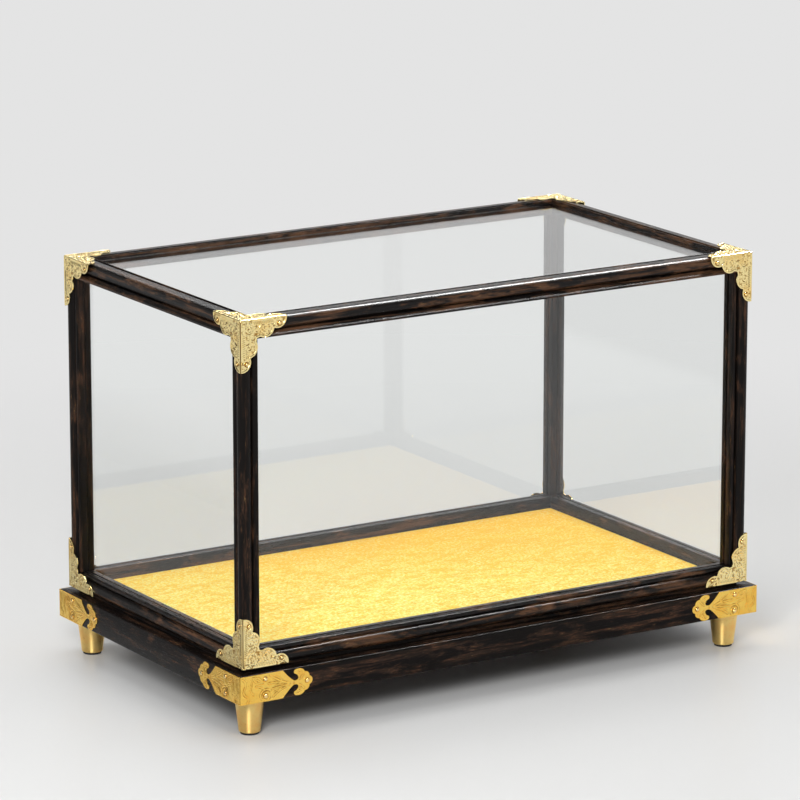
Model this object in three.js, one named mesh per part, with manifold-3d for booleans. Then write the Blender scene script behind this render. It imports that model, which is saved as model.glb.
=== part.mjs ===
import * as THREE from "three";
import { mergeVertices } from "three/addons/utils/BufferGeometryUtils.js";
import Module from "manifold-3d";

// A glazed display case: an ebony and glass cover with brass corners that lifts
// straight up off a mitred base with a velvet board, on four turned brass feet.
// Millimetres, +X along the case, -Y the front, +Z up, Z = 0 under the foot pads.

// Base frame, mitred at its corners
const baseLength = 400;
const baseDepth = 240;
const baseThickness = 18.7;
const baseRailWidth = 42;
const baseArris = 0.9;
const mitreGap = 0.15;

// Panel held by its tongue in the grooves of the base frame
const panelThickness = 8;
const panelTongue = 4;
const panelTongueReach = 6;
const panelDrop = 1.5;
const panelPlay = 0.3;

// Velvet board that locates the cover
const velvetRise = 6.8;
const velvetThickness = 0.8;
const boardPlay = 0.8;
const boardRound = 2;
const layGap = 0.1;

// Feet, their studs and pads
const footHeight = 22.8;
const footTopDiameter = 19.4;
const footBottomDiameter = 14.3;
const footInset = 15.6;
const footChamfer = 0.4;
const footRound = 0.6;
const padHeight = 1.5;
const padSeat = 0.8;
const padDiameter = 12;
const padPlay = 0.3;
const studDiameter = 4;
const studInFoot = 12;
const studInBase = 14;
const studPlay = 0.3;

// Frame of the cover
const coverHeight = 227.5;
const coverLedge = 5.2;
const seatGap = 0.2;
const memberDepth = 13.2;
const topRailHeight = 12.5;
const bottomRailHeight = 14.5;
const plinthHeight = 2.2;
const memberArris = 0.5;

// Moulding on the outer faces of the cover: a rod, a quirk and a thumb with a rounded lip
const rodRadius = 4.35;
const quirkWidth = 0.3;
const thumbSetback = 1.2;
const lipRound = 1;

// Tenons at the ends of the posts
const tenonInset = 6;
const tenonSize = 4;
const tenonHeight = 6;
const tenonPlay = 0.15;
const shoulderGap = 0.1;

// Glass and its grooves
const glassThickness = 2.5;
const glassSetback = 6.6;
const topGlassDrop = 3;
const glassEdgePlay = 0.3;
const glassSidePlay = 0.2;
const grooveDepth = 3;

// Brass corners of the cover
const cornerThickness = 0.7;
const cornerLeg = 33;
const cornerEndRadius = 6.45;
const cornerEndRise = 0.6;
const cornerLobeRadius = 6.6;
const cornerLobeAlong = 17.5;
const cornerWidth = 12;
const cornerThroat = 11.6;
const cornerLift = 2.8;
const cornerNailAlong = 27.8;
const cornerNailIn = 4.1;
const cornerNailDiameter = 2.4;
const cornerNailRise = 0.7;

// Brass straps round the corners of the base
const strapThickness = 0.5;
const strapLeg = 52.6;
const strapMargin = 0.15;
const strapNailDiameter = 2.8;
const strapNailRise = 0.8;

// Clearance of the brass from the wood, and the leg that a fold shares with each face
const brassGap = 0.1;
const foldLeg = 1;

// Length by which a cut passes the face that it opens
const overrun = 2;

// Facets of the round forms
const footFacets = 24;
const studFacets = 10;
const nailFacets = 8;
const ballFacets = 8;
const rodSteps = 10;
const cornerRodSteps = 7;
const thumbSteps = 4;
const lipSteps = 3;
const beadSteps = 6;
const roundSteps = 3;
const foldSteps = 3;
const lobeSteps = 7;
const strapSteps = 4;

// Upper half of a strap's outline from the corner outward, as [share of the leg, share of half the
// height]: each stretch runs to a place, straight or bent towards a pull
const strapShares = [
  { to: [0.585, 1] },
  { to: [0.74, 0.16], pull: [0.69, 0.3] },
  { to: [0.8, 0.38], pull: [0.812, 0.12] },
  { to: [0.752, 0.62], pull: [0.79, 0.56] },
  { to: [0.76, 0.92], pull: [0.722, 0.78] },
  { to: [0.886, 0.76], pull: [0.838, 1.06] },
  { to: [0.888, 0.69] },
  { to: [0.958, 0.38], pull: [0.946, 0.68] },
  { to: [0.956, 0.32] },
  { to: [1, 0], pull: [1, 0.24] },
];

// Nails of a strap, as [share of the leg, share of half the height]
const strapNailShares = [[0.345, 0.61], [0.345, -0.61], [0.925, 0]];

// Radius of the ball in the corner of a top fitting, as a share of the radius of its folds
const cornerBallShare = 0.97;

// Levels and sizes that follow from those above
const baseUnder = padHeight + footHeight;
const baseTop = baseUnder + baseThickness;
const coverUnder = baseTop + seatGap;
const coverTop = baseTop + coverHeight;
const coverLength = baseLength - 2 * coverLedge;
const coverDepth = baseDepth - 2 * coverLedge;
const grooveStart = glassSetback - glassSidePlay;
const grooveWidth = glassThickness + 2 * glassSidePlay;
const paneInset = memberDepth - grooveDepth + glassEdgePlay;
const postHeight = coverTop - coverUnder - topRailHeight - bottomRailHeight - 2 * shoulderGap;
const panelTongueDrop = panelDrop + (panelThickness - panelTongue) / 2;
const clothLength = coverLength - 2 * memberDepth - 2 * boardPlay;
const clothDepth = coverDepth - 2 * memberDepth - 2 * boardPlay;
const boardLength = clothLength - 2 * (velvetThickness + layGap);
const boardDepth = clothDepth - 2 * (velvetThickness + layGap);
const quarterTurn = Math.PI / 2;

// Directions
const east = new THREE.Vector3(1, 0, 0);
const north = new THREE.Vector3(0, 1, 0);
const up = new THREE.Vector3(0, 0, 1);
const west = east.clone().negate();
const south = north.clone().negate();
const down = up.clone().negate();

// Finishes
const ebony = new THREE.MeshStandardMaterial({ color: 0x2c211b, roughness: 0.4, metalness: 0 });
const panelWood = new THREE.MeshStandardMaterial({ color: 0x4a3527, roughness: 0.7, metalness: 0 });
const boardWood = new THREE.MeshStandardMaterial({ color: 0x8a6a45, roughness: 0.8, metalness: 0 });
const velvet = new THREE.MeshStandardMaterial({ color: 0xf2c33c, roughness: 0.95, metalness: 0 });
const glass = new THREE.MeshStandardMaterial({
  color: 0xdfe8e4,
  roughness: 0.05,
  metalness: 0,
  transparent: true,
  opacity: 0.3,
});
const reliefBrass = new THREE.MeshStandardMaterial({ color: 0xe3bd62, roughness: 0.35, metalness: 1 });
const strapBrass = new THREE.MeshStandardMaterial({ color: 0xd9a63f, roughness: 0.4, metalness: 1 });
const turnedBrass = new THREE.MeshStandardMaterial({ color: 0xcfa35a, roughness: 0.3, metalness: 1 });
const steel = new THREE.MeshStandardMaterial({ color: 0x9a9c9e, roughness: 0.4, metalness: 1 });
const rubber = new THREE.MeshStandardMaterial({ color: 0x1a1a1a, roughness: 0.9, metalness: 0 });

const wasm = await Module();
wasm.setup();

// Volume that a list of triangles encloses, negative where they face inward
function signedVolume(positions, corners) {
  const point = (index) => new THREE.Vector3().fromArray(positions, 3 * index);
  let volume = 0;
  for (let i = 0; i < corners.length; i += 3) {
    const [a, b, c] = [corners[i], corners[i + 1], corners[i + 2]].map(point);
    volume += a.dot(b.cross(c));
  }
  return volume;
}

// Solid of a closed geometry, without flattened triangles and facing outward
function toSolid(geometry) {
  const bare = geometry.clone();
  bare.deleteAttribute("normal");
  bare.deleteAttribute("uv");
  const welded = mergeVertices(bare);
  const positions = welded.attributes.position.array;
  const corners = welded.index.array;
  const kept = [];
  for (let i = 0; i < corners.length; i += 3) {
    const [a, b, c] = [corners[i], corners[i + 1], corners[i + 2]];
    if (a !== b && b !== c && c !== a) kept.push(a, b, c);
  }
  if (signedVolume(positions, kept) < 0) kept.reverse();
  return new wasm.Manifold(new wasm.Mesh({
    numProp: 3,
    vertProperties: new Float32Array(positions),
    triVerts: new Uint32Array(kept),
  }));
}

// Geometry of a solid
function toGeometry(solid) {
  const { vertProperties, triVerts } = solid.getMesh();
  const geometry = new THREE.BufferGeometry();
  geometry.setAttribute("position", new THREE.BufferAttribute(new Float32Array(vertProperties), 3));
  geometry.setIndex(new THREE.BufferAttribute(new Uint32Array(triVerts), 1));
  geometry.computeVertexNormals();
  return geometry;
}

function joined(solids) {
  return solids.reduce((whole, solid) => whole.add(solid));
}

function cut(solid, tools) {
  return tools.reduce((rest, tool) => rest.subtract(tool), solid);
}

// Solid box between its lowest and its highest corner
function box(low, high) {
  const size = high.map((value, axis) => value - low[axis]);
  const geometry = new THREE.BoxGeometry(...size);
  geometry.translate(...low.map((value, axis) => value + size[axis] / 2));
  return toSolid(geometry);
}

// Box centred on the Z axis between two heights
function centredBox(length, depth, low, high) {
  return box([-length / 2, -depth / 2, low], [length / 2, depth / 2, high]);
}

// Outline of [x, y] places raised along +Z
function raised(places, height) {
  const shape = new THREE.Shape(places.map(([x, y]) => new THREE.Vector2(x, y)));
  return new THREE.ExtrudeGeometry(shape, { depth: height, bevelEnabled: false });
}

// Body turned about the Z axis from its profile of [radius, height] places
function turned(profile, facets) {
  const points = profile.map(([radius, height]) => new THREE.Vector2(radius, height));
  return new THREE.LatheGeometry(points, facets).rotateX(quarterTurn);
}

// Round bar along Z between two heights
function roundBar(diameter, low, high, facets) {
  const bar = new THREE.CylinderGeometry(diameter / 2, diameter / 2, high - low, facets);
  return toSolid(bar.rotateX(quarterTurn).translate(0, 0, (low + high) / 2));
}

// Places along an arc about a centre, its two radii lying on the two axes
function arc(centre, radii, fromAngle, toAngle, steps) {
  const places = [];
  for (let i = 0; i <= steps; i += 1) {
    const angle = fromAngle + (toAngle - fromAngle) * (i / steps);
    places.push([centre[0] + radii[0] * Math.cos(angle), centre[1] + radii[1] * Math.sin(angle)]);
  }
  return places;
}

// Bar along X from a section of [distance inward, height], mitred at both ends towards its inner side
function mitredBar(section, length) {
  const bar = raised(section, 1);
  const place = bar.attributes.position;
  for (let i = 0; i < place.count; i += 1) {
    const [inward, height, end] = [place.getX(i), place.getY(i), place.getZ(i)];
    const reach = length / 2 - inward - mitreGap;
    place.setXYZ(i, end > 0 ? reach : -reach, inward, height);
  }
  return toSolid(bar);
}

// Section of a base rail, its outer face on distance zero and its underside on height zero
function baseRailSection() {
  const tongueTop = baseThickness - panelTongueDrop;
  const floor = baseRailWidth - panelTongueReach - panelPlay;
  const radii = [baseArris, baseArris];
  return [
    ...arc([baseArris, baseArris], radii, 3 * quarterTurn, 2 * quarterTurn, roundSteps),
    ...arc([baseArris, baseThickness - baseArris], radii, 2 * quarterTurn, quarterTurn, roundSteps),
    [baseRailWidth, baseThickness],
    [baseRailWidth, tongueTop + panelPlay],
    [floor, tongueTop + panelPlay],
    [floor, tongueTop - panelTongue - panelPlay],
    [baseRailWidth, tongueTop - panelTongue - panelPlay],
    [baseRailWidth, 0],
  ];
}

// Base rail with the stud holes, each of which it shares with its neighbour at the mitre
function baseRail(length) {
  const diameter = studDiameter + 2 * studPlay;
  const holes = [-1, 1].map((end) => (
    roundBar(diameter, -overrun, studInBase + studPlay, studFacets)
      .translate([end * (length / 2 - footInset), footInset, 0])
  ));
  return toGeometry(cut(mitredBar(baseRailSection(), length), holes));
}

// Panel with a tongue all round, its top face on height zero
function basePanel() {
  const length = baseLength - 2 * baseRailWidth;
  const depth = baseDepth - 2 * baseRailWidth;
  const tongueTop = (panelTongue - panelThickness) / 2;
  const reach = 2 * panelTongueReach;
  return toGeometry(joined([
    centredBox(length - 2 * panelPlay, depth - 2 * panelPlay, -panelThickness, 0),
    centredBox(length + reach, depth + reach, tongueTop - panelTongue, tongueTop),
  ]));
}

// Block with rounded upright edges between two heights
function roundedBlock(length, depth, radius, low, high) {
  const quarters = [[1, 1], [-1, 1], [-1, -1], [1, -1]];
  const outline = quarters.flatMap(([x, y], index) => {
    const centre = [x * (length / 2 - radius), y * (depth / 2 - radius)];
    const start = index * quarterTurn;
    return arc(centre, [radius, radius], start, start + quarterTurn, roundSteps);
  });
  return toSolid(raised(outline, high - low).translate(0, 0, low));
}

// Board under the velvet, lying on the base
function velvetBoard() {
  const top = velvetRise - velvetThickness - layGap;
  return toGeometry(roundedBlock(boardLength, boardDepth, boardRound, layGap, top));
}

// Velvet over the top and down the sides of its board
function velvetCloth() {
  const clothRound = boardRound + layGap + velvetThickness;
  const outside = roundedBlock(clothLength, clothDepth, clothRound, layGap, velvetRise);
  const inside = roundedBlock(
    boardLength + 2 * layGap,
    boardDepth + 2 * layGap,
    boardRound + layGap,
    -overrun,
    velvetRise - velvetThickness,
  );
  return toGeometry(outside.subtract(inside));
}

// Turned foot with a recess for its pad and a hole for its stud, standing on height zero
function foot() {
  const recess = padDiameter / 2 + padPlay;
  const hole = studDiameter / 2 + studPlay;
  const holeFloor = footHeight - studInFoot - studPlay;
  const side = footBottomDiameter / 2 - footRound;
  const top = footTopDiameter / 2;
  return toGeometry(toSolid(turned([
    [0, padSeat],
    [recess, padSeat],
    [recess, 0],
    ...arc([side, footRound], [footRound, footRound], -quarterTurn, 0, roundSteps),
    [top, footHeight - footChamfer],
    [top - footChamfer, footHeight],
    [hole, footHeight],
    [hole, holeFloor],
    [0, holeFloor],
  ], footFacets)));
}

function footPad() {
  return toGeometry(roundBar(padDiameter, 0, padHeight + padSeat - layGap, footFacets));
}

// Stud between foot and base, the joint between them on height zero
function footStud() {
  return toGeometry(roundBar(studDiameter, -studInFoot, studInBase, studFacets));
}

// Thumb of the moulding and its lip, as [setback, distance from the member's outer edge]
function thumbPlaces(size) {
  const start = 2 * rodRadius + quirkWidth;
  const crest = size - lipRound;
  const swell = [rodRadius - thumbSetback, crest - start];
  const lip = [lipRound, lipRound];
  return [
    ...arc([rodRadius, crest], swell, 3 * quarterTurn, 2 * quarterTurn, thumbSteps),
    ...arc([thumbSetback + lipRound, crest], lip, 2 * quarterTurn, quarterTurn, lipSteps).slice(1),
  ];
}

// Groove for an upright pane in a member of this size, as [setback, distance]
function groovePlaces(size) {
  return [
    [grooveStart, size],
    [grooveStart, size - grooveDepth],
    [grooveStart + grooveWidth, size - grooveDepth],
    [grooveStart + grooveWidth, size],
  ];
}

// Section of a top rail, its top face on height zero
function topRailSection() {
  const radii = [rodRadius, rodRadius];
  const ceiling = topGlassDrop - glassSidePlay;
  return [
    ...arc([rodRadius, rodRadius], radii, -quarterTurn, -3 * quarterTurn, rodSteps),
    ...thumbPlaces(topRailHeight),
    ...groovePlaces(topRailHeight),
    [memberDepth - memberArris, topRailHeight],
    [memberDepth, topRailHeight - memberArris],
    [memberDepth, ceiling + grooveWidth],
    [memberDepth - grooveDepth, ceiling + grooveWidth],
    [memberDepth - grooveDepth, ceiling],
    [memberDepth, ceiling],
    [memberDepth, 0],
  ].map(([inward, drop]) => [inward, -drop]);
}

// Section of a bottom rail, its underside on height zero: plinth, rod, and bead along the glass
function bottomRailSection() {
  const radii = [rodRadius, rodRadius];
  const bead = (grooveStart - rodRadius) / 2;
  const beadCentre = [rodRadius + bead, bottomRailHeight - bead];
  return [
    [rodRadius, 0],
    ...arc([rodRadius, plinthHeight + rodRadius], radii, 3 * quarterTurn, quarterTurn, rodSteps),
    ...arc(beadCentre, [bead, bead], 2 * quarterTurn, 0, beadSteps),
    ...groovePlaces(bottomRailHeight).slice(1),
    [memberDepth - memberArris, bottomRailHeight],
    [memberDepth, bottomRailHeight - memberArris],
    [memberDepth, 0],
  ];
}

// Section of a post, alike on both sides of its diagonal, its outer edge towards the origin
function postSection() {
  const radii = [rodRadius, rodRadius];
  const rod = arc([rodRadius, rodRadius], radii, -3 * quarterTurn / 2, 0, cornerRodSteps);
  const face = [...thumbPlaces(memberDepth), ...groovePlaces(memberDepth)];
  const oneSide = [
    ...rod,
    ...face.map(([setback, along]) => [along, setback]),
    [memberDepth, memberDepth - memberArris],
  ];
  const otherSide = oneSide.map(([x, y]) => [y, x]).reverse();
  return [...oneSide, ...otherSide.slice(0, -1)];
}

// Rail of the cover with half a mortise at each end, between its opening and its floor
function coverRail(section, length, opening, floor) {
  const near = tenonInset - tenonPlay;
  const far = tenonInset + tenonSize + tenonPlay;
  const mortises = [-1, 1].map((end) => {
    const places = [near, far].map((value) => end * (length / 2 - value));
    return box(
      [Math.min(...places), near, Math.min(opening, floor)],
      [Math.max(...places), far, Math.max(opening, floor)],
    );
  });
  return toGeometry(cut(mitredBar(section, length), mortises));
}

function topRail(length) {
  const floor = -topRailHeight + tenonHeight + tenonPlay;
  return coverRail(topRailSection(), length, -topRailHeight - overrun, floor);
}

function bottomRail(length) {
  const floor = bottomRailHeight - tenonHeight - tenonPlay;
  return coverRail(bottomRailSection(), length, bottomRailHeight + overrun, floor);
}

// Post with a stub tenon at each end, its lower shoulder on height zero
function post() {
  const reach = tenonHeight + shoulderGap;
  const end = tenonInset + tenonSize;
  const tenons = box([tenonInset, tenonInset, -reach], [end, end, postHeight + reach]);
  return toGeometry(toSolid(raised(postSection(), postHeight)).add(tenons));
}

// Upright pane for a side of the cover of this length, its outer face on distance zero
function sidePane(length) {
  const half = length / 2 - paneInset;
  const low = bottomRailHeight - grooveDepth + glassEdgePlay;
  const high = coverTop - coverUnder - topRailHeight + grooveDepth - glassEdgePlay;
  return toGeometry(box([-half, 0, low], [half, glassThickness, high]));
}

// Pane of the top, below the top faces of the rails
function topPane() {
  const length = coverLength - 2 * paneInset;
  const depth = coverDepth - 2 * paneInset;
  return toGeometry(centredBox(length, depth, -topGlassDrop - glassThickness, -topGlassDrop));
}

// Geometry turned so that its X and its Z lie on two given directions
function laid(geometry, along, normal) {
  const across = new THREE.Vector3().crossVectors(normal, along);
  return geometry.applyMatrix4(new THREE.Matrix4().makeBasis(along, across, normal));
}

// One face of a brass fitting with the domed heads of its nails
function brassFace(outline, sheet, nails, along, normal) {
  const radius = sheet.nailDiameter / 2;
  const top = brassGap + sheet.thickness;
  const head = turned([
    [0, brassGap + sheet.thickness / 2],
    [radius, brassGap + sheet.thickness / 2],
    [radius, top + sheet.nailRise / 4],
    [radius * Math.SQRT1_2, top + sheet.nailRise * Math.SQRT1_2],
    [0, top + sheet.nailRise],
  ], nailFacets);
  const plate = raised(outline, sheet.thickness).translate(0, 0, brassGap);
  const heads = nails.map(([x, y]) => head.clone().translate(x, y, 0));
  return [plate, ...heads].map((geometry) => toSolid(laid(geometry, along, normal)));
}

// Fold between two faces that meet at the Z axis, with a short leg on each
function brassFold(sheet, height) {
  const inner = brassGap;
  const outer = brassGap + sheet.thickness;
  const turn = [2 * quarterTurn, 3 * quarterTurn];
  return raised([
    [-outer, foldLeg],
    [-outer, 0],
    ...arc([0, 0], [outer, outer], ...turn, foldSteps).slice(1, -1),
    [0, -outer],
    [foldLeg, -outer],
    [foldLeg, -inner],
    [0, -inner],
    ...arc([0, 0], [inner, inner], ...turn, foldSteps).slice(1, -1).reverse(),
    [-inner, 0],
    [-inner, foldLeg],
  ], height);
}

// Places where an arc meets the next one on the outer side of a scalloped edge
function meeting(first, firstRadius, second, secondRadius) {
  const span = Math.hypot(second[0] - first[0], second[1] - first[1]);
  const share = (span ** 2 + firstRadius ** 2 - secondRadius ** 2) / (2 * span);
  const rise = Math.sqrt(firstRadius ** 2 - share ** 2);
  const axis = [(second[0] - first[0]) / span, (second[1] - first[1]) / span];
  return [first[0] + axis[0] * share + axis[1] * rise, first[1] + axis[1] * share - axis[0] * rise];
}

function angleFrom(centre, place) {
  return Math.atan2(place[1] - centre[1], place[0] - centre[0]);
}

// Scalloped outline of one face of a brass corner, alike on both sides of its diagonal
function cornerOutline() {
  const endCentre = [cornerLeg - cornerEndRadius, cornerEndRise];
  const lobeCentre = [cornerLobeAlong, cornerWidth - cornerLobeRadius];
  const notch = meeting(endCentre, cornerEndRadius, lobeCentre, cornerLobeRadius);
  const tipAngle = -Math.asin(cornerEndRise / cornerEndRadius);
  const lobeEnd = Math.PI - Math.asin((cornerThroat - cornerEndRise - lobeCentre[1]) / cornerLobeRadius);
  const endRadii = [cornerEndRadius, cornerEndRadius];
  const lobeRadii = [cornerLobeRadius, cornerLobeRadius];
  const leg = [
    ...arc(endCentre, endRadii, tipAngle, angleFrom(endCentre, notch), lobeSteps),
    ...arc(lobeCentre, lobeRadii, angleFrom(lobeCentre, notch), lobeEnd, lobeSteps).slice(1),
  ];
  const otherLeg = leg.map(([x, y]) => [y, x]).reverse();
  return [[0, 0], ...leg, [cornerThroat, cornerThroat], ...otherLeg];
}

const cornerSheet = {
  thickness: cornerThickness,
  nailDiameter: cornerNailDiameter,
  nailRise: cornerNailRise,
};
const cornerNails = [[cornerNailAlong, cornerNailIn], [cornerNailIn, cornerNailAlong]];

// Brass corner folded over the top, the front and the side, with the wood's corner at the origin
function topFitting() {
  const outline = cornerOutline();
  const folds = [
    brassFold(cornerSheet, cornerLeg).translate(0, 0, -cornerLeg),
    laid(brassFold(cornerSheet, cornerLeg), down, east),
    laid(brassFold(cornerSheet, cornerLeg), east, north),
  ];
  const radius = (brassGap + cornerThickness) * cornerBallShare;
  const ball = new THREE.SphereGeometry(radius, ballFacets, ballFacets / 2);
  return toGeometry(joined([
    ...brassFace(outline, cornerSheet, [], east, up),
    ...brassFace(outline, cornerSheet, cornerNails, down, south),
    ...brassFace(outline, cornerSheet, cornerNails, north, west),
    ...[...folds, ball].map(toSolid),
  ]));
}

// Brass corner folded over the front and the side, its straight edge on height zero
function bottomFitting() {
  const outline = cornerOutline();
  return toGeometry(joined([
    ...brassFace(outline, cornerSheet, cornerNails, east, south),
    ...brassFace(outline, cornerSheet, cornerNails, up, west),
    toSolid(brassFold(cornerSheet, cornerLeg)),
  ]));
}

// Outline of one leg of a strap, with a body, a narrow neck and a cloud-shaped head
function strapOutline() {
  const half = baseThickness / 2 - strapMargin;
  let last = new THREE.Vector2(0, half);
  const upper = [last];
  for (const stretch of strapShares) {
    const [end, pull] = [stretch.to, stretch.pull ?? stretch.to].map(([along, across]) => (
      new THREE.Vector2(along * strapLeg, across * half)
    ));
    const curve = new THREE.QuadraticBezierCurve(last, pull, end);
    upper.push(...curve.getPoints(stretch.pull ? strapSteps : 1).slice(1));
    last = end;
  }
  const places = upper.map((point) => [point.x, point.y]);
  return [...places, ...places.slice(0, -1).reverse().map(([x, y]) => [x, -y])];
}

// Brass strap folded round a corner of the base, with the middle of the wood's edge at the origin
function strap() {
  const half = baseThickness / 2 - strapMargin;
  const outline = strapOutline();
  const nails = strapNailShares.map(([along, across]) => [along * strapLeg, across * half]);
  const sheet = {
    thickness: strapThickness,
    nailDiameter: strapNailDiameter,
    nailRise: strapNailRise,
  };
  return toGeometry(joined([
    ...brassFace(outline, sheet, nails, east, south),
    ...brassFace(outline, sheet, nails, north, west),
    toSolid(brassFold(sheet, 2 * half).translate(0, 0, -half)),
  ]));
}

const displayCase = new THREE.Group();

function addPiece(name, geometry, material, place, turns) {
  const mesh = new THREE.Mesh(geometry, material);
  mesh.name = name;
  mesh.position.set(...place);
  mesh.rotation.z = turns * quarterTurn;
  displayCase.add(mesh);
}

// One copy at each corner of a plan, each turned a quarter from the last
const corners = [["front_left", -1, -1], ["front_right", 1, -1], ["back_right", 1, 1], ["back_left", -1, 1]];

function addAtCorners(name, geometry, material, length, depth, level) {
  corners.forEach(([corner, x, y], turns) => {
    const place = [(x * length) / 2, (y * depth) / 2, level];
    addPiece(`${corner}_${name}`, geometry, material, place, turns);
  });
}

// One piece along each side of a plan, made to the length of its side and set in from it
const sides = [["front", 0, -1], ["right", 1, 0], ["back", 0, 1], ["left", -1, 0]];

function addAtSides(name, make, material, length, depth, inset, level) {
  sides.forEach(([side, x, y], turns) => {
    const place = [x * (length / 2 - inset), y * (depth / 2 - inset), level];
    addPiece(`${side}_${name}`, make(y === 0 ? depth : length), material, place, turns);
  });
}

// Base
const footSpan = [baseLength - 2 * footInset, baseDepth - 2 * footInset];
addAtSides("base_rail", baseRail, ebony, baseLength, baseDepth, 0, baseUnder);
addPiece("base_panel", basePanel(), panelWood, [0, 0, baseTop - panelDrop], 0);
addPiece("velvet_board", velvetBoard(), boardWood, [0, 0, baseTop], 0);
addPiece("velvet_cloth", velvetCloth(), velvet, [0, 0, baseTop], 0);
addAtCorners("strap", strap(), strapBrass, baseLength, baseDepth, baseUnder + baseThickness / 2);
addAtCorners("foot", foot(), turnedBrass, ...footSpan, padHeight);
addAtCorners("foot_pad", footPad(), rubber, ...footSpan, 0);
addAtCorners("foot_stud", footStud(), steel, ...footSpan, baseUnder);

// Cover
addAtSides("bottom_rail", bottomRail, ebony, coverLength, coverDepth, 0, coverUnder);
addAtSides("top_rail", topRail, ebony, coverLength, coverDepth, 0, coverTop);
addAtSides("pane", sidePane, glass, coverLength, coverDepth, glassSetback, coverUnder);
addPiece("top_pane", topPane(), glass, [0, 0, coverTop], 0);
addAtCorners("post", post(), ebony, coverLength, coverDepth, coverUnder + bottomRailHeight + shoulderGap);
addAtCorners("top_fitting", topFitting(), reliefBrass, coverLength, coverDepth, coverTop);
addAtCorners("bottom_fitting", bottomFitting(), reliefBrass, coverLength, coverDepth, baseTop + cornerLift);

export default displayCase;
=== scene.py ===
import math

import bmesh
import bpy
import numpy as np
from mathutils import Matrix, Vector, geometry, noise


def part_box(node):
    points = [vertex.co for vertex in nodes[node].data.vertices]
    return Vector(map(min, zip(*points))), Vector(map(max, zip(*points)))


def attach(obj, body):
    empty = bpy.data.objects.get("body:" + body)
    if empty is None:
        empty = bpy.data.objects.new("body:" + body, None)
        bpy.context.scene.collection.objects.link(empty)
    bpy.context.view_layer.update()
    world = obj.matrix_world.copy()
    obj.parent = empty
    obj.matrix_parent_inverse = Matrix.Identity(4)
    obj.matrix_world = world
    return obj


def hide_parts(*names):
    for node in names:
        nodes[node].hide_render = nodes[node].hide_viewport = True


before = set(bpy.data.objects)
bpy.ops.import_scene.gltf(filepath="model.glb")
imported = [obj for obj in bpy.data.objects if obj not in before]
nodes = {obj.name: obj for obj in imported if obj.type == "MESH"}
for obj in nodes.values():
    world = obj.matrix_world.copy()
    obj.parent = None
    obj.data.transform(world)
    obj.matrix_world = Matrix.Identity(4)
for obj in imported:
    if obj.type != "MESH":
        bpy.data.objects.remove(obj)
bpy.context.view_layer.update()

mm = 0.001
mitreGap = 0.15


# Lengths are drawn in millimetres and made metres when a piece is finished
def spanOf(*names):
    boxes = [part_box(name) for name in names]
    low = [min(box[0][axis] for box in boxes) / mm for axis in range(3)]
    high = [max(box[1][axis] for box in boxes) / mm for axis in range(3)]
    return low, high


# Length and depth between the outer faces; the mitres stop short of the corners
def planOf(span):
    return span[1][0] - span[0][0] + 2 * mitreGap, span[1][1] - span[0][1]


baseSpan = spanOf("front_base_rail", "back_base_rail")
coverSpan = spanOf("front_bottom_rail", "back_top_rail")
basePlan, coverPlan = planOf(baseSpan), planOf(coverSpan)


# Camera and light

cameraView = {
    "lens": 217.53,
    "turn": -32.016,
    "rise": 13.704,
    "distance": 3.208,
    "aim": (0, 0, 0.160),
    "slide": (-0.00571, 0.0114),
}

studio = {
    "backdropTone": 0.775,
    "leftTone": 0.02,
    "frontTone": 0.9,
    "aboveTone": 0.16,
    "lowFill": 0.11,
    "highFill": 0.62,
    "floorTone": 0.67,
    "nearFloor": 0.36,
    "farFloor": 0.95,
    # how much the floor's glow is dimmed for glossy rays in the painted dark reflection to the left
    "paintedReflectionShade": 0.5,
    "floorRoughness": 0.36,
    "floorShine": 0.08,
    # where along X the painted dark reflection begins and ends
    "darkPatchNear": (-0.22, -0.27),
    "darkPatchFar": (-0.6, -0.45),
}


def addObject(name, data):
    made = bpy.data.objects.new(name, data)
    bpy.context.scene.collection.objects.link(made)
    return made


def makeCamera():
    turn, rise = math.radians(cameraView["turn"]), math.radians(cameraView["rise"])
    back = Vector((
        math.sin(turn) * math.cos(rise), -math.cos(turn) * math.cos(rise), math.sin(rise),
    ))
    right = Vector((math.cos(turn), math.sin(turn), 0))
    up = back.cross(right)
    data = bpy.data.cameras.new("photoCamera")
    data.lens = cameraView["lens"]
    data.sensor_width = 36
    data.clip_end = 60
    camera = addObject("photoCamera", data)
    across, upward = cameraView["slide"]
    place = Vector(cameraView["aim"]) + back * cameraView["distance"] + right * across + up * upward
    turned = Matrix((right, up, back)).transposed().to_4x4()
    camera.matrix_world = Matrix.Translation(place) @ turned
    bpy.context.scene.camera = camera


def addSoftbox(name, place, aim, size, watts, onlyGloss=False):
    data = bpy.data.lights.new(name, "AREA")
    data.shape = "RECTANGLE"
    data.size, data.size_y = size
    data.energy = watts
    lamp = addObject(name, data)
    lamp.location = place
    lamp.rotation_euler = (Vector(aim) - Vector(place)).to_track_quat("-Z", "Y").to_euler()
    lamp.visible_camera = False
    lamp.visible_transmission = False
    lamp.visible_diffuse = not onlyGloss


makeCamera()
addSoftbox("overheadBox", (0.1, 0.3, 2.4), (0, 0, 0.1), (2.2, 1.4), 19)
addSoftbox("sideBox", (-1.25, -1.38, 1.12), (0, 0, 0.05), (0.7, 0.6), 28)
addSoftbox("backBox", (1.3, 2.05, 1.55), (0, 0, 0.1), (2.4, 0.16), 11)
addSoftbox("crestBox", (1.16, -0.05, 2.06), (0, 0, 0.15), (0.24, 0.8), 140, True)
print("camera and light are set")


# Nodes of the materials

# The tree that nodes are added to
current = {"tree": None}


def startTree(tree):
    tree.nodes.clear()
    current["tree"] = tree


# Sets the inputs of a node, and links the ones that are sockets
def feed(node, inputs):
    for key, value in inputs.items():
        if isinstance(value, bpy.types.NodeSocket):
            current["tree"].links.new(value, node.inputs[key])
        else:
            node.inputs[key].default_value = value
    return node


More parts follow.
